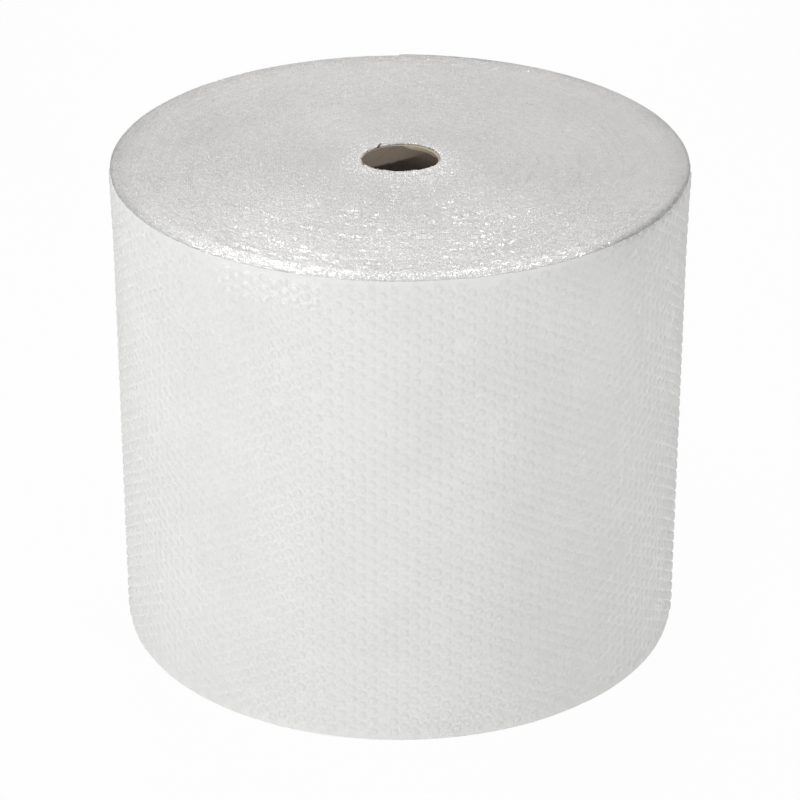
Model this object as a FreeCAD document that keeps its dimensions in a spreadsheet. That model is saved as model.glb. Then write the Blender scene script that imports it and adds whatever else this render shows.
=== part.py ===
"""A roll of air bubble cushioning film wound on a paperboard core, standing on its end."""
import FreeCAD, Part
import Sketcher
import math
import os

# Driving dimensions, in millimetres unless the name counts something.
# The height of the standing roll is the width of the film web.
SIZES = {
    "web_width": 500.0,
    "roll_diameter": 577.0,
    "film_thickness": 3.4,
    "column_spacing": 10.4,
    "column_rise": 1.6,
    "column_root": 0.15,
    "column_lap": 0.4,
    "core_bore": 76.2,
    "core_wall": 3.8,
    "core_play": 0.3,
    "core_recess": 2.0,
    "coils": 8,
    "coil_depth": 2.2,
    "coil_drop": 0.4,
    "rim_land": 12.0,
    "cut_margin": 2.0,
}

doc = FreeCAD.newDocument("cushioning_film_roll")
sheet = doc.addObject("Spreadsheet::Sheet", "sizes")
for row, (alias, value) in enumerate(SIZES.items(), start=1):
    sheet.set(f"A{row}", alias)
    sheet.set(f"B{row}", str(value))
    sheet.setAlias(f"B{row}", alias)
doc.recompute()

WEB = "sizes.web_width"
BASE_RADIUS = "(sizes.roll_diameter / 2 - sizes.column_rise)"
CORE_RADIUS = "(sizes.core_bore / 2 + sizes.core_wall)"
FILM_BORE = f"({CORE_RADIUS} + sizes.core_play)"

# The outer turn is a spiral of two half circles. The centre of the left half and its radius are
# half a film less than the right half's, so the turn steps down by one film at its tail, which
# is a straight edge at the back of the roll.
SPLIT_X = "(-sizes.film_thickness / 4)"
RIGHT_CENTRE_Y = "0"
LEFT_CENTRE_Y = "(-sizes.film_thickness / 2)"
LEFT_RADIUS = f"({BASE_RADIUS} - sizes.film_thickness / 2)"

# The bubbles of the outer turn stand in columns up the web, a whole number on each half of the
# turn. Each column is a rounded rib that laps over its neighbours at the root.
COLUMNS = f"round(pi * {BASE_RADIUS} / sizes.column_spacing)"
HALF_COLUMN = f"(pi * {BASE_RADIUS} / ({COLUMNS}) / 2 + sizes.column_lap)"

# The turns show on both ends as a spiral of coils, each a ridge that stands for a few turns of
# film. It has two half circles a turn as well, and runs from inside the bore to the rim's land.
PITCH = f"(({BASE_RADIUS} - sizes.rim_land - {CORE_RADIUS} + sizes.cut_margin) / sizes.coils)"
FIRST_COIL = f"({CORE_RADIUS} - sizes.cut_margin - {PITCH} / 4)"


def value_of(expression):
    """The number that an expression on the sheet comes to, as a sketch's first guess."""
    result = sheet.evalExpression(expression)
    return float(getattr(result, "Value", result))


def new_body(name):
    body = doc.addObject("PartDesign::Body", name)
    body.Label = name
    return body


def sketch_on(body, role, name):
    """A new sketch on one of the body's own origin planes."""
    sketch = body.newObject("Sketcher::SketchObject", name)
    plane = next(item for item in body.Origin.OriginFeatures if item.Role == role)
    sketch.AttachmentSupport = [(plane, "")]
    sketch.MapMode = "FlatFace"
    return sketch


def place_point(sketch, edge, end, across=None, up=None):
    """Hold one end of an edge at signed distances from the sketch's origin."""
    for kind, distance in (("DistanceX", across), ("DistanceY", up)):
        if distance is not None:
            value = value_of(distance)
            index = sketch.addConstraint(Sketcher.Constraint(kind, -1, 1, edge, end, value))
            sketch.setExpression(f"Constraints[{index}]", distance)


def add_circle(sketch, radius):
    """A full circle about the sketch's origin."""
    circle = Part.Circle(FreeCAD.Vector(0, 0, 0), FreeCAD.Vector(0, 0, 1), value_of(radius))
    edge = sketch.addGeometry(circle, False)
    sketch.addConstraint(Sketcher.Constraint("Coincident", edge, 3, -1, 1))
    index = sketch.addConstraint(Sketcher.Constraint("Radius", edge, value_of(radius)))
    sketch.setExpression(f"Constraints[{index}]", radius)


def add_outline(sketch, points):
    """A closed outline of straight lines through points given as pairs of expressions."""
    corners = [FreeCAD.Vector(value_of(across), value_of(up), 0) for across, up in points]
    edges = []
    for start, end in zip(corners, corners[1:] + corners[:1]):
        edges.append(sketch.addGeometry(Part.LineSegment(start, end), False))
    for edge, following in zip(edges, edges[1:] + edges[:1]):
        sketch.addConstraint(Sketcher.Constraint("Coincident", edge, 2, following, 1))
    for edge, (across, up) in zip(edges, points):
        place_point(sketch, edge, 1, across, up)


def add_pad(body, sketch, name, length):
    pad = body.newObject("PartDesign::Pad", name)
    pad.Profile = sketch
    pad.setExpression("Length", length)
    pad.Refine = False
    doc.recompute()
    return pad


def add_wound_web(body):
    """The whole winding as one block, with the spiral outline of the outer turn's film."""
    sketch = sketch_on(body, "XY_Plane", "web_outline")
    split, radius = value_of(SPLIT_X), value_of(BASE_RADIUS)
    axis = FreeCAD.Vector(0, 0, 1)
    right = Part.Circle(FreeCAD.Vector(split, value_of(RIGHT_CENTRE_Y), 0), axis, radius)
    left = Part.Circle(FreeCAD.Vector(split, value_of(LEFT_CENTRE_Y), 0), axis,
                       value_of(LEFT_RADIUS))
    right_arc = sketch.addGeometry(Part.ArcOfCircle(right, -math.pi / 2, math.pi / 2), False)
    left_arc = sketch.addGeometry(Part.ArcOfCircle(left, math.pi / 2, 3 * math.pi / 2), False)
    tail_top = FreeCAD.Vector(split, radius, 0)
    tail_foot = FreeCAD.Vector(split, value_of(LEFT_CENTRE_Y) + value_of(LEFT_RADIUS), 0)
    tail = sketch.addGeometry(Part.LineSegment(tail_top, tail_foot), False)
    sketch.addConstraint(Sketcher.Constraint("Coincident", right_arc, 2, tail, 1))
    sketch.addConstraint(Sketcher.Constraint("Coincident", tail, 2, left_arc, 1))
    sketch.addConstraint(Sketcher.Constraint("Coincident", left_arc, 2, right_arc, 1))
    place_point(sketch, right_arc, 3, SPLIT_X, RIGHT_CENTRE_Y)
    place_point(sketch, left_arc, 3, SPLIT_X, LEFT_CENTRE_Y)
    place_point(sketch, right_arc, 1, SPLIT_X)
    place_point(sketch, right_arc, 2, SPLIT_X)
    place_point(sketch, left_arc, 1, SPLIT_X)
    index = sketch.addConstraint(Sketcher.Constraint("Radius", right_arc, radius))
    sketch.setExpression(f"Constraints[{index}]", BASE_RADIUS)
    return add_pad(body, sketch, "wound_web", WEB)


def add_bubble_columns(body, side, centre_y, radius, start_angle):
    """The columns of bubbles on one half of the outer turn, each a rounded rib up the web."""
    sketch = sketch_on(body, "XY_Plane", f"column_{side}_section")
    root = f"({radius} - sizes.column_root)"
    crest = f"({radius} + sizes.column_rise)"
    foot = FreeCAD.Vector(value_of(root), -value_of(HALF_COLUMN), 0)
    top = FreeCAD.Vector(value_of(crest), 0, 0)
    head = FreeCAD.Vector(value_of(root), value_of(HALF_COLUMN), 0)
    arc = sketch.addGeometry(Part.Arc(foot, top, head), False)
    chord = sketch.addGeometry(Part.LineSegment(head, foot), False)
    middle = sketch.addGeometry(Part.Point(top), True)
    sketch.addConstraint(Sketcher.Constraint("Coincident", arc, 2, chord, 1))
    sketch.addConstraint(Sketcher.Constraint("Coincident", chord, 2, arc, 1))
    sketch.addConstraint(Sketcher.Constraint("PointOnObject", middle, 1, arc))
    place_point(sketch, arc, 1, root, f"(-{HALF_COLUMN})")
    place_point(sketch, arc, 2, root, HALF_COLUMN)
    place_point(sketch, middle, 1, crest, "0")
    sketch.AttachmentOffset = FreeCAD.Placement(
        FreeCAD.Vector(value_of(SPLIT_X), value_of(centre_y), 0),
        FreeCAD.Rotation(FreeCAD.Vector(0, 0, 1), start_angle))
    sketch.setExpression("AttachmentOffset.Base.x", SPLIT_X)
    sketch.setExpression("AttachmentOffset.Base.y", centre_y)
    sketch.setExpression("AttachmentOffset.Rotation.Angle",
                         f"{start_angle} + 90 / {COLUMNS}")
    rib = add_pad(body, sketch, f"column_{side}", WEB)
    pattern = body.newObject("PartDesign::PolarPattern", f"columns_{side}")
    pattern.Originals = [rib]
    pattern.Axis = (sketch, ["N_Axis"])
    pattern.Angle = 180
    pattern.setExpression("Angle", f"180 - 180 / {COLUMNS}")
    pattern.setExpression("Occurrences", COLUMNS)
    pattern.Refine = side == "left"
    body.Tip = pattern
    doc.recompute()
    return pattern


def coil_points(first, face, outward):
    """The cut that leaves a zigzag of coils on one end: outward is 1 at the top, -1 below."""
    above = f"({face} + {outward} * sizes.cut_margin)"
    peak = f"({face} - {outward} * sizes.coil_drop)"
    valley = f"({face} - {outward} * sizes.coil_depth)"
    count = int(value_of("sizes.coils"))
    points = [(first, above), (first, peak)]
    for coil in range(count):
        points.append((f"({first} + {coil + 0.5} * {PITCH})", valley))
        points.append((f"({first} + {coil + 1} * {PITCH})", peak if coil < count - 1 else face))
    points.append((f"({first} + {count} * {PITCH})", above))
    return points


def add_coils(body, side, centre_y, first, reverse):
    """Half a turn of every coil, cut into both ends of the winding."""
    sketch = sketch_on(body, "YZ_Plane", f"coils_{side}_section")
    sketch.AttachmentOffset = FreeCAD.Placement(
        FreeCAD.Vector(value_of(centre_y), 0, 0), FreeCAD.Rotation())
    sketch.setExpression("AttachmentOffset.Base.x", centre_y)
    add_outline(sketch, coil_points(first, WEB, 1))
    add_outline(sketch, coil_points(first, "0", -1))
    groove = body.newObject("PartDesign::Groove", f"coils_{side}")
    groove.Profile = sketch
    groove.ReferenceAxis = (sketch, ["V_Axis"])
    groove.Angle = 180
    groove.Reversed = reverse
    groove.Refine = False
    doc.recompute()
    return groove


def make_film_roll():
    body = new_body("film_roll")
    add_wound_web(body)
    add_coils(body, "right", f"({PITCH} / 4)", FIRST_COIL, True)
    add_coils(body, "left", f"(-{PITCH} / 4)", f"({FIRST_COIL} - {PITCH} / 2)", False)
    sketch = sketch_on(body, "XY_Plane", "core_hole_section")
    add_circle(sketch, FILM_BORE)
    hole = body.newObject("PartDesign::Pocket", "core_hole")
    hole.Profile = sketch
    hole.Type = "ThroughAll"
    hole.Reversed = True
    hole.Refine = False
    add_bubble_columns(body, "right", RIGHT_CENTRE_Y, BASE_RADIUS, -90)
    add_bubble_columns(body, "left", LEFT_CENTRE_Y, LEFT_RADIUS, 90)
    return body


def make_core_tube():
    """A plain square-cut tube of wound paperboard, a little short of the web at both ends."""
    body = new_body("core_tube")
    sketch = sketch_on(body, "XY_Plane", "tube_section")
    sketch.setExpression("AttachmentOffset.Base.z", "sizes.core_recess")
    add_circle(sketch, CORE_RADIUS)
    add_circle(sketch, "(sizes.core_bore / 2)")
    add_pad(body, sketch, "tube_wall", f"{WEB} - 2 * sizes.core_recess")
    return body


def check_and_export(bodies):
    doc.recompute()
    for item in doc.Objects:
        if "Invalid" in item.State or "Error" in item.State:
            raise RuntimeError(f"{item.Label} failed: {item.State}")
    os.makedirs("parts", exist_ok=True)
    for body in bodies:
        shape = body.Shape
        if shape.isNull() or not shape.isValid() or len(shape.Solids) != 1:
            raise RuntimeError(f"{body.Label} has no valid single solid")
        shape.exportStep(f"parts/{body.Label}.step")
        print(f"{body.Label}: {shape.Volume / 1e9:.6f} m3, box {shape.BoundBox}")


check_and_export([make_film_roll(), make_core_tube()])
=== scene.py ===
import math

import bpy
import numpy as np
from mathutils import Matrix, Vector


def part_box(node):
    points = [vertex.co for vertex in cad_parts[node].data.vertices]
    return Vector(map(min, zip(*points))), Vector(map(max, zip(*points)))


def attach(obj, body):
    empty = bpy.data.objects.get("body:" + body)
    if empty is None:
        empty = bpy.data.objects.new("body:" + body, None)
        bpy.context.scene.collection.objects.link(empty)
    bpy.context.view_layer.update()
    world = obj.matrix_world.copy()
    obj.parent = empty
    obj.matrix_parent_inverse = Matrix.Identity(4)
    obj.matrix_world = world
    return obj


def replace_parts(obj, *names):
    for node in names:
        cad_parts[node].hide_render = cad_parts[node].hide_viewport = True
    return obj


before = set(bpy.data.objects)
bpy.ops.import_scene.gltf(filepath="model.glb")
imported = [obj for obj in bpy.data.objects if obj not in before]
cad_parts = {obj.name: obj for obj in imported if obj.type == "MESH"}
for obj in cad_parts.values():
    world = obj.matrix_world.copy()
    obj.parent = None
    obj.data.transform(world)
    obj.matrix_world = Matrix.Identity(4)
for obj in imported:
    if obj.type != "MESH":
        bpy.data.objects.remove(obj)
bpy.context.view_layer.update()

# Sizes, in metres. The places come from the frame: the winding, and the tube it is wound on.
MM = 0.001
winding_low, winding_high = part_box("film_roll")
tube_low, tube_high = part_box("core_tube")
WEB = winding_high[2]
ROLL_RADIUS = (winding_high[1] - winding_low[1]) / 2
CORE_PLAY = 0.3 * MM
FILM_BORE = (tube_high[0] - tube_low[0]) / 2 + CORE_PLAY
TUBE_TOP = tube_high[2]

# The film: how thick one wound turn is, and the lattice of its bubbles. A bubble's foot and
# shoulder are radii, and the shoulder stands at a share of the rise.
FILM = 3.4 * MM
BUBBLE_RISE = 1.4 * MM
BUBBLE_FOOT = 4.85 * MM
BUBBLE_SHOULDER = 3.7 * MM
SHOULDER_RISE = 0.74
BUBBLE_SIDES = 8
BUBBLE_LEAN = 0.22 * MM
LEAST_FULL = 0.84
FLAT_BUBBLES = 0.02
FLAT_RISE = 0.4
COLUMNS = 174
COLUMN_SPACING = 2 * math.pi * ROLL_RADIUS / COLUMNS
HALF_ROW = 6 * MM
HEX_REACH = 2 * HALF_ROW / math.sqrt(3)
LAST_ROW = 2 * int((WEB / HALF_ROW - 2) / 2)
FIRST_ROW_HEIGHT = (WEB - LAST_ROW * HALF_ROW) / 2

# The tail of the web is at the back, and the turns run on from it anticlockwise. Beside it the
# outer turn lies tight for a share of the way round.
TAIL_ANGLE = math.pi / 2
TAIL_EASE = 0.05

# The rim of the roll: the outer turn leans in over its last few millimetres, and its upper part
# stands out a little, as the roll is wound looser there.
RIM_REACH = 8 * MM
RIM_LEAN = 0.9 * MM
RIM_HEIGHT = WEB - 0.8 * MM
FLARE_REACH = 110 * MM
FLARE = 2.2 * MM

# The outer turn lies unevenly, by a few waves round and up the roll.
SLACKNESS = 0.3 * MM
SLACK_WAVES = 9
WAVES_MOST_ROUND, WAVES_MOST_UP = 24, 14
WAVES_LEAST_SIZE = 0.4
WAVES_SPREAD = 0.9

# The ends of the winding: two rows of points a turn, the film's edge and the gap behind it. The
# unevenness of whole turns and of single cells runs on over some steps of a row.
END_STEPS = 600
TURN_REACH, CELL_REACH = 50, 3
SIDE_ROUGHNESS = 0.3 * MM
GAP_DEPTH = 0.4 * MM
EDGE_ROUGHNESS = 0.25 * MM
TURN_ROUGHNESS = 0.35 * MM
FINE_ROUGHNESS = 0.18 * MM
RIM_DROP = 0.9 * MM
RIM_ROUND = 26 * MM
RIM_TILT = 0.4
CORE_SWELL = 0.3 * MM
CORE_SWELL_REACH = 60 * MM

# The innermost turns slump over the end of the tube, except at the back right, and swell up at
# the front of the upper end.
LIP_RADIUS = 38.1 * MM
LIP_CLEARANCE = 0.3 * MM
LIP_REST = 0.4 * MM
LIP_RIPPLE = 0.5 * MM
LIP_RIPPLES = 13, 29
LIP_OPEN = 4.0 * MM
LIP_OPEN_ANGLE = math.radians(48)
LIP_OVERHANG = 5.0 * MM
LIP_SWELL = 1.6 * MM

# A short dark mark in the film at the back left of the core: its middle, its direction and its size.
MARK_X, MARK_Y = -21 * MM, 34.5 * MM
MARK_TOWARD_X, MARK_TOWARD_Y = 0.33, 0.944
MARK_LENGTH, MARK_WIDTH = 12 * MM, 1.7 * MM
MARK_ENDS, MARK_SIDES = 1 * MM, 0.3 * MM

# A slack place in the front right of the upper rim, where the outer turn stands away. Painted shade
# darkens the crease behind it in specks, and painted shade greys the film below it.
SLACK_FROM, SLACK_TO = math.radians(-58), math.radians(-4)
SLACK_DEPTH = 1.6 * MM
CREASE_INSIDE, CREASE_OUTSIDE = ROLL_RADIUS - 11 * MM, ROLL_RADIUS - 6 * MM
CREASE_LOW, CREASE_HIGH = WEB - 8 * MM, WEB - 3 * MM
GREY_LOW, GREY_HIGH = WEB - 80 * MM, WEB - 10 * MM

# A crumpled place in the outer turn, under the front left of the upper rim.
CRUMPLE_FROM, CRUMPLE_TO = math.radians(-124), math.radians(-106)
CRUMPLE_LOW, CRUMPLE_HIGH = WEB - 30 * MM, WEB - 10 * MM
CRUMPLE_FADE, CRUMPLE_FADE_UP = math.radians(3), 8 * MM

# Other stretches of the finishes, as angles round the roll from the photograph's right, each with
# the angle over which it fades: the painted shade of the crease and of the grey film at the slack
# place, the calm front of the side, the painted light of the pale rim at the front left, and the
# worn edge of the tube.
CREASE_FROM, CREASE_TO, CREASE_FADE = math.radians(-38), math.radians(-20), math.radians(14)
GREY_FROM, GREY_TO, GREY_FADE = math.radians(-42), math.radians(-16), math.radians(22)
CALM_FROM, CALM_TO, CALM_FADE = math.radians(-118), math.radians(-62), math.radians(20)
PALE_FROM, PALE_TO, PALE_FADE = math.radians(-170), math.radians(-112), math.radians(24)
PALE_INSIDE, PALE_OUTSIDE = ROLL_RADIUS - 34 * MM, ROLL_RADIUS - 4 * MM
WORN_FROM, WORN_TO, WORN_FADE = math.radians(25), math.radians(72), math.radians(14)

# How deep the tube's pale cut end shows, and how much further where it is worn.
CUT_END, CUT_END_FADE, WORN_DEPTH = 0.6 * MM, 0.3 * MM, 3 * MM
SEAMS_A_METRE = 7.5

# The colours of the film's side, of its cut edges and of the board.
SIDE_GREY, SIDE_PALE = (0.775, 0.775, 0.765, 1), (0.82, 0.82, 0.81, 1)
# Painted shade: the grey of the film under the slack place.
PAINTED_SLACK_SHADE = (0.30, 0.30, 0.29, 1)
EDGE_GREY, EDGE_PALE = (0.66, 0.65, 0.64, 1), (0.70, 0.69, 0.68, 1)
# Painted light: the end's rim at the front left, painted as pale as the lit side.
PAINTED_RIM_LIGHT = (0.80, 0.80, 0.79, 1)
# Painted shade: the dark of the shaded gap behind the outer turn, at the crease.
PAINTED_GAP_SHADE = (0.20, 0.20, 0.18, 1)
MARK_DARK = (0.035, 0.028, 0.022, 1)
BOARD_DARK, BOARD_LIGHT = (0.20, 0.163, 0.13, 1), (0.26, 0.213, 0.172, 1)
BOARD_SEAM = (0.12, 0.09, 0.065, 1)
BOARD_CUT = (0.52, 0.44, 0.33, 1)
GROUND_GREY = (0.86, 0.86, 0.86, 1)

# The noise on the turns' edges is drawn out along the photograph's depth, which its low camera
# shortens.
EDGE_SQUEEZE = (1, 0.55, 1)
SPECK_SQUEEZE = (1, 0.6, 1)

# The light that comes from all round, how white the ground is to the camera, and how far it runs.
WORLD_LIGHT = 0.16
GROUND_WHITE = 0.96
GROUND_REACH = 6

# The camera, as measured on the photograph: 800 pixels a side, no shift.
FRAME_PIXELS = 800
FOCAL_PIXELS = 3306
SENSOR = 36
CAMERA_PITCH = math.radians(27.0)
CAMERA_DISTANCE = 3.405
CAMERA_TARGET = Vector((0, 0, 0.2307))

rng = np.random.default_rng(7)


class Wire:
    """A value in a material, so that sums on it are written as sums."""

    def __init__(self, finish, socket):
        self.finish = finish
        self.socket = socket

    def math(self, operation, first, second):
        return self.finish.node("ShaderNodeMath", {"operation": operation}, {0: first, 1: second})

    def __add__(self, other):
        return self.math("ADD", self, other)

    def __radd__(self, other):
        return self.math("ADD", other, self)

    def __sub__(self, other):
        return self.math("SUBTRACT", self, other)

    def __rsub__(self, other):
        return self.math("SUBTRACT", other, self)

    def __mul__(self, other):
        return self.math("MULTIPLY", self, other)

    def __rmul__(self, other):
        return self.math("MULTIPLY", other, self)


class Finish:
    """The nodes of one material."""

    def __init__(self, name):
        self.material = bpy.data.materials.new(name)
        self.material.use_nodes = True
        self.tree = self.material.node_tree
        self.tree.nodes.clear()

    def node(self, kind, settings=None, inputs=None, output=0):
        """Any node: its settings first, then the values or links of its sockets."""
        made = self.tree.nodes.new(kind)
        for key, value in (settings or {}).items():
            setattr(made, key, value)
        for key, value in (inputs or {}).items():
            if isinstance(value, Wire):
                self.tree.links.new(value.socket, made.inputs[key])
            else:
                made.inputs[key].default_value = value
        return Wire(self, made.outputs[output]) if len(made.outputs) else made

    def place(self):
        """Where a point of the object is, in metres."""
        return self.node("ShaderNodeTexCoord", output="Object")

    def along(self, axis):
        """How far along X, Y or Z a point of the object is, in metres."""
        return self.node("ShaderNodeSeparateXYZ", None, {"Vector": self.place()}, axis)

    def noise(self, size, detail=2.0, roughness=0.5, squeeze=(1, 1, 1)):
        """Soft noise from 0 to 1 whose lumps are about that size, in metres."""
        squeezed = self.node("ShaderNodeVectorMath", {"operation": "MULTIPLY"},
                             {0: self.place(), 1: squeeze})
        return self.node("ShaderNodeTexNoise", None, {
            "Vector": squeezed, "Scale": 1 / size, "Detail": detail, "Roughness": roughness})

    def slope(self, value, low, high):
        """0 below low and 1 above high, with a straight slope between them."""
        return self.node("ShaderNodeMapRange", {"clamp": True},
                         {"Value": value, "From Min": low, "From Max": high})

    def blend(self, share, first, second):
        """A colour between two others."""
        return self.node("ShaderNodeMix", {"data_type": "RGBA"}, {0: share, 6: first, 7: second}, 2)

    def bump(self, height, depth, **normal):
        """A normal from heights of 0 to 1 that stand for a depth in metres, on the true normal
        or on one that is given as Normal."""
        return self.node("ShaderNodeBump", None, {"Height": height, "Distance": depth, **normal})

    def show(self, shader):
        """The material, once a shader covers its surface."""
        self.node("ShaderNodeOutputMaterial", None, {"Surface": shader})
        return self.material


def eased_normal(film, share, toward):
    """The true normal, drawn by a share towards a plain one: the layers below soften the relief."""
    true = film.node("ShaderNodeNewGeometry", output="Normal")
    mixed = film.node("ShaderNodeMix", {"data_type": "VECTOR"}, {0: share, 4: true, 5: toward}, 1)
    return film.node("ShaderNodeVectorMath", {"operation": "NORMALIZE"}, {0: mixed})


def flat_place(film):
    """A point's place as seen from above, counted from the roll's axis."""
    return film.node("ShaderNodeVectorMath", {"operation": "MULTIPLY"},
                     {0: film.place(), 1: (1, 1, 0)})


def from_axis(film):
    """How far a point is from the roll's axis, in metres."""
    return film.node("ShaderNodeVectorMath", {"operation": "LENGTH"}, {0: flat_place(film)}, "Value")


def facing(finish):
    """The angle round the roll, from -pi to pi, counted from the photograph's right."""
    return finish.node("ShaderNodeMath", {"operation": "ARCTAN2"},
                       {0: finish.along("Y"), 1: finish.along("X")})


def between(finish, value, low, high, soft):
    """1 where a value lies between low and high, with soft slopes outside them."""
    return finish.slope(value, low - soft, low) * finish.slope(value, high + soft, high)


def outward(film):
    """Straight out from the roll's axis."""
    return film.node("ShaderNodeVectorMath", {"operation": "NORMALIZE"}, {0: flat_place(film)})


def endward(film):
    """Straight out of the nearer end of the roll, leaning outwards over the soft rim."""
    nearer = film.node("ShaderNodeMath", {"operation": "SIGN"}, {0: film.along("Z") - WEB / 2})
    level = film.node("ShaderNodeCombineXYZ", None, {2: nearer})
    lean = film.slope(from_axis(film), ROLL_RADIUS - RIM_ROUND, ROLL_RADIUS - RIM_LEAN) * RIM_TILT
    leaning = film.node("ShaderNodeCombineXYZ", None, {0: lean, 1: lean})
    side = film.node("ShaderNodeVectorMath", {"operation": "MULTIPLY"},
                     {0: outward(film), 1: leaning})
    return film.node("ShaderNodeVectorMath", {"operation": "ADD"}, {0: level, 1: side})


def layered(film, colour, body_bump, skin_bump, skin_share, skin_roughness):
    """Milky layers of film under a thin clear skin that gives the glints."""
    body = film.node("ShaderNodeBsdfPrincipled", None, {
        "Base Color": colour, "Roughness": 0.6, "Specular IOR Level": 0.3, "Normal": body_bump})
    skin = film.node("ShaderNodeBsdfPrincipled", None, {
        "Base Color": colour, "Roughness": skin_roughness, "IOR": 1.5, "Specular IOR Level": 1.0,
        "Coat Weight": 1.0, "Coat Roughness": 0.1, "Normal": skin_bump})
    return film.show(film.node("ShaderNodeMixShader", None, {0: skin_share, 1: body, 2: skin}))


def painted_crease_shade(film):
    """Painted shade: dark specks for the gap behind the outer turn, at the slack place of the rim.
    """
    along = between(film, facing(film), CREASE_FROM, CREASE_TO, CREASE_FADE)
    edge = film.slope(from_axis(film), CREASE_INSIDE, CREASE_OUTSIDE)
    high = film.slope(film.along("Z"), CREASE_LOW, CREASE_HIGH)
    specks = film.slope(film.noise(2.6 * MM, roughness=0.7, squeeze=SPECK_SQUEEZE), 0.45, 0.60)
    return along * edge * high * (0.1 + 0.9 * specks)


def painted_slack_shade(film):
    """Painted shade: the greyer part of the outer turn, under the slack place of the rim."""
    along = between(film, facing(film), GREY_FROM, GREY_TO, GREY_FADE)
    return along * film.slope(film.along("Z"), GREY_LOW, GREY_HIGH)


def crumpled(film):
    """1 at the crumpled place of the outer turn, 0 elsewhere."""
    return (between(film, facing(film), CRUMPLE_FROM, CRUMPLE_TO, CRUMPLE_FADE)
            * between(film, film.along("Z"), CRUMPLE_LOW, CRUMPLE_HIGH, CRUMPLE_FADE_UP))


def painted_rim_light(film):
    """Painted light: the rim at the front left, where the end is painted as pale as the lit side."""
    near_rim = film.slope(from_axis(film), PALE_INSIDE, PALE_OUTSIDE)
    return near_rim * between(film, facing(film), PALE_FROM, PALE_TO, PALE_FADE)


def dark_mark(film):
    """The short dark mark in the film at the back left of the core."""
    across, depth = film.along("X") - MARK_X, film.along("Y") - MARK_Y
    along = across * MARK_TOWARD_X + depth * MARK_TOWARD_Y
    beside = across * MARK_TOWARD_Y - depth * MARK_TOWARD_X
    return (between(film, along, -MARK_LENGTH / 2, MARK_LENGTH / 2, MARK_ENDS)
            * between(film, beside, -MARK_WIDTH / 2, MARK_WIDTH / 2, MARK_SIDES))


def side_finish():
    """The outer turn: nearly even milky white, with rows of faint glints on the bubbles."""
    film = Finish("bubble_film_side")
    crumple = crumpled(film)
    crinkle = film.noise(3.0 * MM) * (1 + 8 * crumple)
    cloud = film.noise(90 * MM, 3.0) * 0.6 + film.noise(5 * MM) * 0.4
    pale = film.blend(film.slope(cloud, 0.35, 0.65), SIDE_GREY, SIDE_PALE)
    # Painted shade: the film under the slack place is greyed.
    shaded = film.blend(painted_slack_shade(film) * 0.14, pale, PAINTED_SLACK_SHADE)
    # Painted shade: dark specks where the gap behind the outer turn lies in shade.
    colour = film.blend(painted_crease_shade(film) * 0.5, shaded, PAINTED_GAP_SHADE)
    sparkle = film.slope(film.noise(16 * MM, roughness=0.6), 0.42, 0.62)
    calm = between(film, facing(film), CALM_FROM, CALM_TO, CALM_FADE)
    glints = 0.03 + 0.24 * sparkle * (1 - 0.8 * calm) + 0.4 * crumple
    body = film.bump(crinkle, 0.08 * MM, Normal=eased_normal(film, 0.96, outward(film)))
    skin = film.bump(crinkle, 0.12 * MM)
    return layered(film, colour, body, skin, glints, 0.22)


def end_glitter(film):
    """Fine glints on the turns' edges, densest at the front and round the core."""
    toward_front = film.slope(film.along("Y"), 20 * MM, -200 * MM)
    toward_right = film.slope(film.along("X"), 60 * MM, 200 * MM)
    near_core = film.slope(from_axis(film), 75 * MM, 45 * MM)
    grains = film.noise(2.2 * MM, roughness=0.7, squeeze=EDGE_SQUEEZE)
    density = 0.12 * toward_front + 0.10 * near_core - 0.06 * toward_right
    return film.slope(grains + density, 0.50, 0.68)


def end_finish():
    """The edges of the turns: grey white, with fine glitter that is densest at the front."""
    film = Finish("bubble_film_edges")
    crinkle = film.noise(1.4 * MM, roughness=0.6, squeeze=EDGE_SQUEEZE)
    # The short dark mark at the back left of the core, with no glints on it.
    cut = dark_mark(film)
    pale = film.blend(film.slope(film.noise(60 * MM, 3.0), 0.35, 0.65), EDGE_GREY, EDGE_PALE)
    # Painted light: the end's rim at the front left is painted as pale as the lit side.
    rim_lit = film.blend(painted_rim_light(film) * 0.5, pale, PAINTED_RIM_LIGHT)
    # Painted shade: dark specks where the gap behind the outer turn lies in shade.
    crease_shaded = film.blend(painted_crease_shade(film) * 0.5, rim_lit, PAINTED_GAP_SHADE)
    colour = film.blend(cut, crease_shaded, MARK_DARK)
    body = film.bump(crinkle, 0.14 * MM, Normal=eased_normal(film, 0.92, endward(film)))
    skin = film.bump(crinkle, 0.50 * MM, Normal=eased_normal(film, 0.97, endward(film)))
    return layered(film, colour, body, skin, end_glitter(film) * (1 - cut), 0.2)


def board_finish():
    """Brown paperboard wound in a spiral: fibres, the seam between plies, and pale cut ends."""
    board = Finish("core_paperboard")
    angle, up = facing(board), board.along("Z")
    turns = angle * (1 / (2 * math.pi)) + up * SEAMS_A_METRE
    seam = board.slope(board.node("ShaderNodeMath", {"operation": "FRACT"}, {0: turns}), 0.985, 0.99)
    fibre = board.noise(1.2 * MM, 4.0, 0.7)
    mottle = board.noise(14 * MM)
    brown = board.blend(board.slope(fibre * 0.6 + mottle * 0.4, 0.35, 0.65), BOARD_DARK, BOARD_LIGHT)
    joined = board.blend(seam * 0.25, brown, BOARD_SEAM)
    worn = between(board, angle, WORN_FROM, WORN_TO, WORN_FADE) * WORN_DEPTH
    cut = board.slope(up + worn, TUBE_TOP - CUT_END, TUBE_TOP - CUT_END + CUT_END_FADE)
    colour = board.blend(cut, joined, BOARD_CUT)
    shader = board.node("ShaderNodeBsdfPrincipled", None, {
        "Base Color": colour, "Roughness": 0.85, "Specular IOR Level": 0.3,
        "Normal": board.bump(fibre, 0.15 * MM)})
    return board.show(shader)


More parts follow.
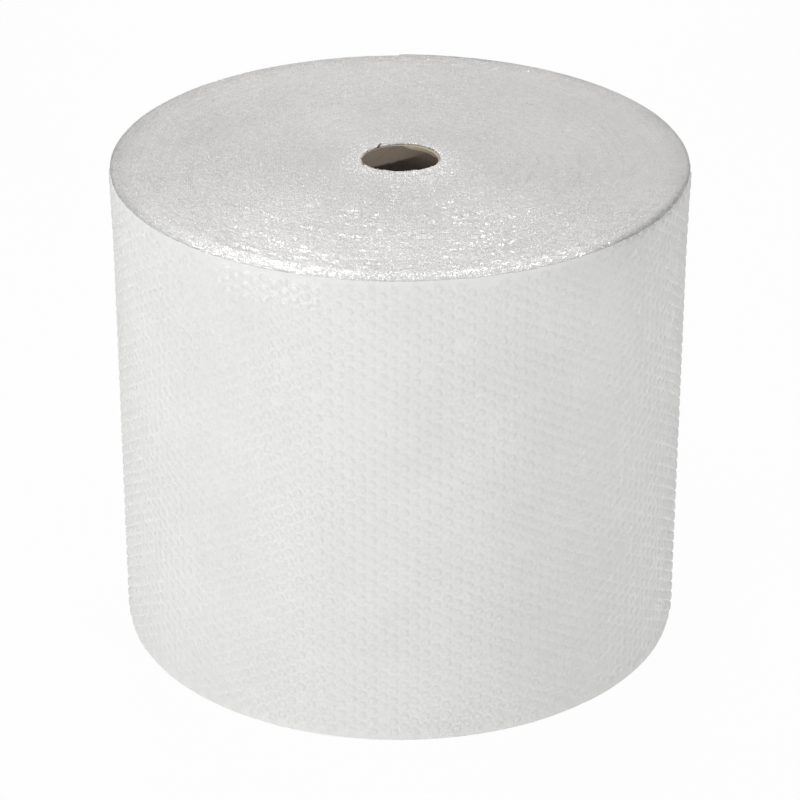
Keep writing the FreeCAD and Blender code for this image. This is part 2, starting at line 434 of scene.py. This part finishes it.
def floor_finish():
    """A white ground that stays almost white to the camera and keeps a faint shadow."""
    floor = Finish("ground_white")
    path = {name: floor.node("ShaderNodeLightPath", output=name)
            for name in ("Is Camera Ray", "Is Glossy Ray", "Is Transmission Ray")}
    seen = path["Is Camera Ray"] + path["Is Glossy Ray"] + path["Is Transmission Ray"]
    lit = floor.node("ShaderNodeBsdfDiffuse", None, {"Color": GROUND_GREY})
    white = floor.node("ShaderNodeEmission", None, {"Color": (1, 1, 1, 1), "Strength": 1.0})
    mixed = floor.node("ShaderNodeMixShader", None, {0: seen * GROUND_WHITE, 1: lit, 2: white})
    return floor.show(mixed)


def mesh_piece(name, points, faces, material, slot):
    """A new smooth-shaded piece that rides on the roll."""
    mesh = bpy.data.meshes.new(name)
    mesh.from_pydata(points, [], faces)
    mesh.update()
    mesh.shade_smooth()
    mesh.materials.append(material)
    piece = bpy.data.objects.new(name, mesh)
    bpy.context.scene.collection.objects.link(piece)
    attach(piece, "root")
    return piece


def random_wave():
    """A random wave round and up the roll, as its turns, rise, phase and size."""
    return (int(rng.integers(1, WAVES_MOST_ROUND)),
            float(rng.uniform(-WAVES_MOST_UP, WAVES_MOST_UP)),
            float(rng.uniform(0, 2 * math.pi)), float(rng.uniform(WAVES_LEAST_SIZE, 1.0)))


def wave_height(table, angle, height):
    """The sum of the waves at an angle and a height, from about -1 to 1."""
    total = sum(size * np.cos(turns * angle + rise * height + phase)
                for turns, rise, phase, size in table)
    return total / math.sqrt(len(table)) / WAVES_SPREAD


def turn_point(along, inset):
    """A point of the winding seen from above. along is 0 at the tail's foot and 1 at its edge."""
    angle = TAIL_ANGLE + along * 2 * math.pi
    on_left = along < 0.5
    radius = ROLL_RADIUS - (FILM / 2 if on_left else 0) - inset
    centre_y = -FILM / 2 if on_left else 0
    return -FILM / 4 + radius * math.cos(angle), centre_y + radius * math.sin(angle)


def film_point(columns, height, rise):
    """A point of the outer turn: columns of bubbles along from the tail, height, rise off it."""
    along = min(max(columns / COLUMNS, 0), 1)
    angle = TAIL_ANGLE + along * 2 * math.pi
    from_end = max(1 - min(height, WEB - height) / RIM_REACH, 0)
    slack = SLACKNESS * (1 - wave_height(slack_waves, angle, height))
    slack *= min(along, 1 - along, TAIL_EASE) / TAIL_EASE
    flare = FLARE * max(1 - (WEB - height) / FLARE_REACH, 0) ** 2
    x, y = turn_point(along, BUBBLE_RISE - rise + RIM_LEAN * from_end ** 2 + slack - flare)
    return x, y, height


def bubble_pattern():
    """The faces of one bubble's cell: points 0 to 5 are its corners, then foot, shoulder, top."""
    foot = [6 + side for side in range(BUBBLE_SIDES)]
    shoulder = [side + BUBBLE_SIDES for side in foot]
    top = 6 + 2 * BUBBLE_SIDES
    faces = []
    corner, side = 0, 0
    while corner < 6 or side < BUBBLE_SIDES:
        here, at_foot = corner % 6, foot[side % BUBBLE_SIDES]
        if (corner + 1) / 6 <= (side + 1) / BUBBLE_SIDES and corner < 6:
            faces.append((here, (corner + 1) % 6, at_foot))
            corner += 1
        else:
            faces.append((here, foot[(side + 1) % BUBBLE_SIDES], at_foot))
            side += 1
    for side in range(BUBBLE_SIDES):
        following = (side + 1) % BUBBLE_SIDES
        faces.append((foot[side], foot[following], shoulder[following], shoulder[side]))
        faces.append((shoulder[side], shoulder[following], top))
    return faces


class OuterTurn:
    """The mesh of some columns of bubbles of the outer turn, with the plain film round them."""

    def __init__(self, columns):
        self.points = []
        self.faces = []
        self.shared = {}
        pattern = bubble_pattern()
        for column in columns:
            first_row = column % 2
            last_row = LAST_ROW - first_row
            for row in range(first_row, last_row + 1, 2):
                self.bubble(column, row, pattern)
            self.margin(column, last_row + 1, RIM_HEIGHT, 1)
            self.margin(column, first_row - 1, WEB - RIM_HEIGHT, -1)
            if column == 0:
                self.tail_foot(first_row, last_row)
            if column == COLUMNS - 1:
                self.tail_edge(first_row, last_row)

    def point(self, columns, height, rise=0.0, key=None):
        """The number of a point of the film, which is made once where it has a key."""
        if key is None or key not in self.shared:
            self.points.append(film_point(columns, height, rise))
            if key is None:
                return len(self.points) - 1
            self.shared[key] = len(self.points) - 1
        return self.shared[key]

    def corner(self, side, column, row):
        """The right (1) or left (-1) corner of the cell of a column and half row."""
        columns = column + 0.5 + side * HEX_REACH / COLUMN_SPACING
        height = FIRST_ROW_HEIGHT + row * HALF_ROW
        return self.point(columns, height, key=("corner", side, column, row))

    def rim(self, side, column, height):
        """A point of the film's straight edge, beside a column's bubbles."""
        columns = column + 0.5 + side * HEX_REACH / 2 / COLUMN_SPACING
        return self.point(columns, height, key=("rim", side, column, height))

    def bubble(self, column, row, pattern):
        """One bubble on its cell of plain film: nearly full, or now and then almost flat."""
        middle, height = column + 0.5, FIRST_ROW_HEIGHT + row * HALF_ROW
        cell = [self.corner(1, column, row), self.corner(-1, column + 1, row + 1),
                self.corner(1, column - 1, row + 1), self.corner(-1, column, row),
                self.corner(1, column - 1, row - 1), self.corner(-1, column + 1, row - 1)]
        full = BUBBLE_RISE * float(rng.uniform(LEAST_FULL, 1.0))
        if rng.random() < FLAT_BUBBLES:
            full *= FLAT_RISE
        across, up = rng.normal(0, BUBBLE_LEAN, 2)
        for reach, rise in ((BUBBLE_FOOT, 0), (BUBBLE_SHOULDER, full * SHOULDER_RISE)):
            for side in range(BUBBLE_SIDES):
                angle = 2 * math.pi * side / BUBBLE_SIDES
                columns = middle + reach * math.cos(angle) / COLUMN_SPACING
                cell.append(self.point(columns, height + reach * math.sin(angle), rise))
        cell.append(self.point(middle + across / COLUMN_SPACING, height + up, full))
        self.faces += [tuple(cell[index] for index in face) for face in pattern]

    def margin(self, column, row, height, upward):
        """The plain strip between a column's last bubble and the edge of the web."""
        left, right = self.corner(1, column - 1, row), self.corner(-1, column + 1, row)
        rim_left, rim_right = self.rim(-1, column, height), self.rim(1, column, height)
        strips = [(left, right, rim_right, rim_left)]
        if column < COLUMNS - 1:
            next_row = row + upward * (1 if column % 2 else -1)
            strips.append((right, self.corner(1, column, next_row),
                           self.rim(-1, column + 1, height), rim_right))
        self.faces += [strip if upward > 0 else strip[::-1] for strip in strips]

    def tail_foot(self, first_row, last_row):
        """The plain film where the outer turn starts, against the foot of the tail."""
        for row in range(first_row, last_row - 1, 2):
            self.faces.append((self.corner(-1, 0, row), self.corner(1, -1, row + 1),
                               self.corner(-1, 0, row + 2)))
        top, foot = self.point(0, RIM_HEIGHT), self.point(0, WEB - RIM_HEIGHT)
        self.faces.append((self.corner(-1, 0, last_row), self.corner(1, -1, last_row + 1),
                           self.rim(-1, 0, RIM_HEIGHT), top))
        self.faces.append((foot, self.rim(-1, 0, WEB - RIM_HEIGHT),
                           self.corner(1, -1, first_row - 1), self.corner(-1, 0, first_row)))

    def tail_edge(self, first_row, last_row):
        """The cut end of the web: plain film up to it, and the step down to the turn below."""
        last = COLUMNS - 1
        edge = [self.point(COLUMNS, WEB - RIM_HEIGHT)]
        for row in range(first_row, last_row + 1, 2):
            edge.append(self.corner(1, last, row))
            if row < last_row:
                self.faces.append((self.corner(-1, COLUMNS, row + 1), self.corner(1, last, row),
                                   self.corner(1, last, row + 2)))
        edge.append(self.point(COLUMNS, RIM_HEIGHT))
        self.faces.append((self.corner(-1, COLUMNS, last_row + 1), edge[-2], edge[-1],
                           self.rim(1, last, RIM_HEIGHT)))
        self.faces.append((self.rim(1, last, WEB - RIM_HEIGHT), edge[0], edge[1],
                           self.corner(-1, COLUMNS, first_row - 1)))
        feet = [self.point(COLUMNS, self.points[index][2], -FILM) for index in edge]
        for lower in range(len(edge) - 1):
            self.faces.append((edge[lower], feet[lower], feet[lower + 1], edge[lower + 1]))


def ragged(rows, steps, reach):
    """Random numbers on a grid, smoothed along each row over a reach of steps."""
    raw = rng.normal(0, 1, (rows, steps))
    window = np.hanning(reach + 2)[1:-1]
    window /= math.sqrt((window ** 2).sum())
    spread = np.fft.fft(np.pad(window, (0, steps - len(window))))
    return np.real(np.fft.ifft(np.fft.fft(raw, axis=1) * spread, axis=1))


def lip_radius(angle):
    """How far in the innermost turns reach over the end of the tube."""
    openness = max(math.cos(angle - LIP_OPEN_ANGLE), 0) ** 2
    overhang = max(-math.sin(angle), 0) ** 2
    slow, quick = LIP_RIPPLES
    ripple = LIP_RIPPLE * math.sin(slow * angle) * math.sin(quick * angle + 1)
    return LIP_RADIUS + LIP_OPEN * openness - LIP_OVERHANG * overhang + ripple


def slack_share(angle):
    """1 in the middle of the slack place of the rim, 0 outside it."""
    around = (angle + math.pi) % (2 * math.pi) - math.pi
    share = (around - SLACK_FROM) / (SLACK_TO - SLACK_FROM)
    return math.sin(math.pi * share) if 0 < share < 1 else 0.0


def uneven_drops(rows):
    """How far each point of the turns' edges lies below an even end, deepest in the gaps."""
    turn_noise = np.abs(ragged(rows, END_STEPS, TURN_REACH))
    cell_noise = np.abs(ragged(rows, END_STEPS, CELL_REACH))
    fine_noise = np.abs(rng.normal(0, 1, (rows, END_STEPS)))
    drops = TURN_ROUGHNESS * np.repeat(turn_noise[::2], 2, axis=0)
    drops += EDGE_ROUGHNESS * cell_noise + FINE_ROUGHNESS * fine_noise
    drops[1::2] += GAP_DEPTH
    return drops


def even_drop(radius, lip, angle, swell):
    """How far an even end lies below the web's edge: it rounds off at the rim, sinks a little
    over most of its width and swells round the core."""
    from_rim = max(1 - (ROLL_RADIUS - radius) / RIM_ROUND, 0)
    near_core = max(1 - (radius - lip) / CORE_SWELL_REACH, 0)
    sunk = RIM_DROP * from_rim ** 2 + CORE_SWELL * (1 - near_core ** 2)
    return sunk - swell * near_core ** 4 * max(-math.sin(angle), 0)


def end_faces(rows, inside, top):
    """The faces between the rows of an end. A row runs on into the one that is two rows further
    out, and the first two run on into the tail's edge, whose points come after all the rows."""
    faces = []
    for row in range(rows - 1):
        for step in range(END_STEPS):
            quad = [(row, step), (row, step + 1), (row + 1, step + 1), (row + 1, step)]
            quad = [(r - 2, 0) if s == END_STEPS else (r, s) for r, s in quad]
            corners = [r * END_STEPS + s if r >= 0 else rows * END_STEPS + r + 2 for r, s in quad]
            if not all(inside[corner] for corner in corners):
                faces.append(tuple(corners[::-1] if top else corners))
    return faces


def end_mesh(top):
    """The end of the winding: the edges of all its turns, in one spiral from rim to bore."""
    rows = 2 * (int((ROLL_RADIUS - RIM_LEAN - LIP_RADIUS) / FILM) + 2)
    uneven = uneven_drops(rows)
    side_noise = rng.normal(0, 1, (rows, END_STEPS))
    swell = LIP_SWELL if top else 0
    rim_height = RIM_HEIGHT if top else WEB - RIM_HEIGHT
    points, inside = [], []
    for row in range(rows):
        for step in range(END_STEPS):
            along = step / END_STEPS
            angle = TAIL_ANGLE + along * 2 * math.pi
            if row == 0:
                points.append(film_point(along * COLUMNS, rim_height, 0))
                inside.append(False)
                continue
            inset = BUBBLE_RISE + RIM_LEAN + FILM * row / 2
            inset += SIDE_ROUGHNESS * float(side_noise[row, step])
            if top:
                inset -= FLARE * max(1 - inset / RIM_ROUND, 0)
            x, y = turn_point(along, inset)
            radius, lip = math.hypot(x, y), lip_radius(angle)
            inside.append(radius <= lip)
            if inside[-1]:
                height = TUBE_TOP + LIP_REST + swell * max(-math.sin(angle), 0)
                points.append((lip * math.cos(angle), lip * math.sin(angle),
                               height if top else WEB - height))
                continue
            drop = even_drop(radius, lip, angle, swell) + float(uneven[row, step])
            if radius < FILM_BORE + FILM / 2:
                drop = min(drop, WEB - TUBE_TOP - LIP_CLEARANCE)
            if top and row in (2, 3):
                drop += SLACK_DEPTH * slack_share(angle)
            points.append((x, y, WEB - drop if top else drop))
    edge_x, edge_y = turn_point(1, BUBBLE_RISE + RIM_LEAN)
    points += [film_point(COLUMNS, rim_height, 0), (edge_x, edge_y - FILM / 2, rim_height)]
    inside += [False, False]
    return points, end_faces(rows, inside, top)


def aim(name, lamp, target, azimuth, elevation, distance):
    """Stand a lamp off a target, facing it. Azimuth is counted from +X, as in the frame."""
    placed = bpy.data.objects.new(name, lamp)
    bpy.context.scene.collection.objects.link(placed)
    turn, lift = math.radians(azimuth), math.radians(elevation)
    level = math.cos(lift)
    away = Vector((math.cos(turn) * level, math.sin(turn) * level, math.sin(lift)))
    placed.location = target + away * distance
    placed.rotation_euler = away.to_track_quat("Z", "Y").to_euler()


def light(name, target, azimuth, elevation, distance, size, power):
    """A square softbox that faces the target."""
    lamp = bpy.data.lights.new(name, "AREA")
    lamp.size = size
    lamp.energy = power
    aim(name, lamp, target, azimuth, elevation, distance)


def spot(name, target, azimuth, elevation, distance, radius, cone, power):
    """A narrow lamp that faces the target, with a soft edge to its cone."""
    lamp = bpy.data.lights.new(name, "SPOT")
    lamp.shadow_soft_size = radius
    lamp.spot_size = math.radians(cone)
    lamp.spot_blend = 1.0
    lamp.energy = power
    aim(name, lamp, target, azimuth, elevation, distance)


def build_world():
    """Even grey light from all round, and plain white where the camera sees past the floor."""
    world = bpy.data.worlds.new("studio")
    bpy.context.scene.world = world
    world.use_nodes = True
    tree = world.node_tree
    tree.nodes.clear()
    path = tree.nodes.new("ShaderNodeLightPath")
    seen = tree.nodes.new("ShaderNodeMath")
    seen.operation = "MAXIMUM"
    tree.links.new(path.outputs["Is Camera Ray"], seen.inputs[0])
    tree.links.new(path.outputs["Is Transmission Ray"], seen.inputs[1])
    strength = tree.nodes.new("ShaderNodeMapRange")
    strength.inputs["To Min"].default_value = WORLD_LIGHT
    strength.inputs["To Max"].default_value = 1.0
    tree.links.new(seen.outputs[0], strength.inputs["Value"])
    background = tree.nodes.new("ShaderNodeBackground")
    tree.links.new(strength.outputs[0], background.inputs["Strength"])
    output = tree.nodes.new("ShaderNodeOutputWorld")
    tree.links.new(background.outputs[0], output.inputs["Surface"])


def build_camera():
    """The photograph's camera, looking down on the roll from the front."""
    camera = bpy.data.cameras.new("view")
    camera.sensor_width = SENSOR
    camera.lens = FOCAL_PIXELS / FRAME_PIXELS * SENSOR
    camera.clip_end = 50
    placed = bpy.data.objects.new("view", camera)
    bpy.context.scene.collection.objects.link(placed)
    away = Vector((0, -math.cos(CAMERA_PITCH), math.sin(CAMERA_PITCH)))
    placed.location = CAMERA_TARGET + away * CAMERA_DISTANCE
    placed.rotation_euler = away.to_track_quat("Z", "Y").to_euler()
    bpy.context.scene.camera = placed


def build_floor():
    """A plain ground, well past the edges of the picture."""
    mesh = bpy.data.meshes.new("ground")
    sides = ((-1, -1), (1, -1), (1, 1), (-1, 1))
    mesh.from_pydata([(x * GROUND_REACH, y * GROUND_REACH, 0) for x, y in sides], [], [(0, 1, 2, 3)])
    mesh.materials.append(floor_finish())
    ground = bpy.data.objects.new("ground", mesh)
    bpy.context.scene.collection.objects.link(ground)


bpy.context.scene.view_settings.view_transform = "Standard"

side_film = side_finish()
end_film = end_finish()

slack_waves = [random_wave() for _ in range(SLACK_WAVES)]
front = range(COLUMNS // 4, 3 * COLUMNS // 4)
back = [column for column in range(COLUMNS) if column not in front]
for name, columns in (("outer_turn_front", front), ("outer_turn_back", back)):
    turn = OuterTurn(columns)
    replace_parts(mesh_piece(name, turn.points, turn.faces, side_film, "bubble_film"), "film_roll")
for name, top in (("upper_end_of_turns", True), ("lower_end_of_turns", False)):
    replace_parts(mesh_piece(name, *end_mesh(top), end_film, "bubble_film"), "film_roll")

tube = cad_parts["core_tube"]
for surface in tube.material_slots:
    surface.material = board_finish()

build_world()
build_camera()
build_floor()

# Each lamp: what it faces, its azimuth and elevation in degrees, its distance, its width, or a
# spot's radius and cone, and its power.
middle = Vector((0, 0, WEB / 2))
end_middle = Vector((0, 0, WEB))
rim_left, rim_right = Vector((-0.125, -0.235, WEB)), Vector((0.10, -0.25, WEB))
light("key_left", middle, -130, 8, 2.4, 1.4, 25)
light("fill_right", middle, -15, 6, 2.6, 1.3, 7.0)
light("low_left", middle, -165, 6, 2.6, 1.3, 10)
light("back_left", end_middle, 108, 48, 1.8, 0.5, 6)
light("back_right", end_middle, 74, 48, 1.8, 0.4, 4)
light("edge_left", middle, 155, 18, 2.4, 0.4, 2.0)
light("strokes_left", middle, 168, 38, 2.4, 0.4, 2.0)
light("edge_right", middle, 25, 18, 2.4, 0.4, 2.0)
light("back", end_middle, 90, 38, 2.4, 1.4, 8)
light("back_wall", middle, 90, 3, 2.6, 1.2, 12)
light("key_right", end_middle, -52, 16, 3.0, 0.12, 26)
light("overhead", end_middle, -90, 80, 2.2, 1.2, 12.5)
spot("core_spot", end_middle, -52, 16, 3.0, 0.03, 2.6, 90)
spot("glare_left", rim_left, 100, 52, 2.0, 0.12, 6.6, 58)
spot("glare_right", rim_right, 80, 52, 2.0, 0.10, 4.2, 34)
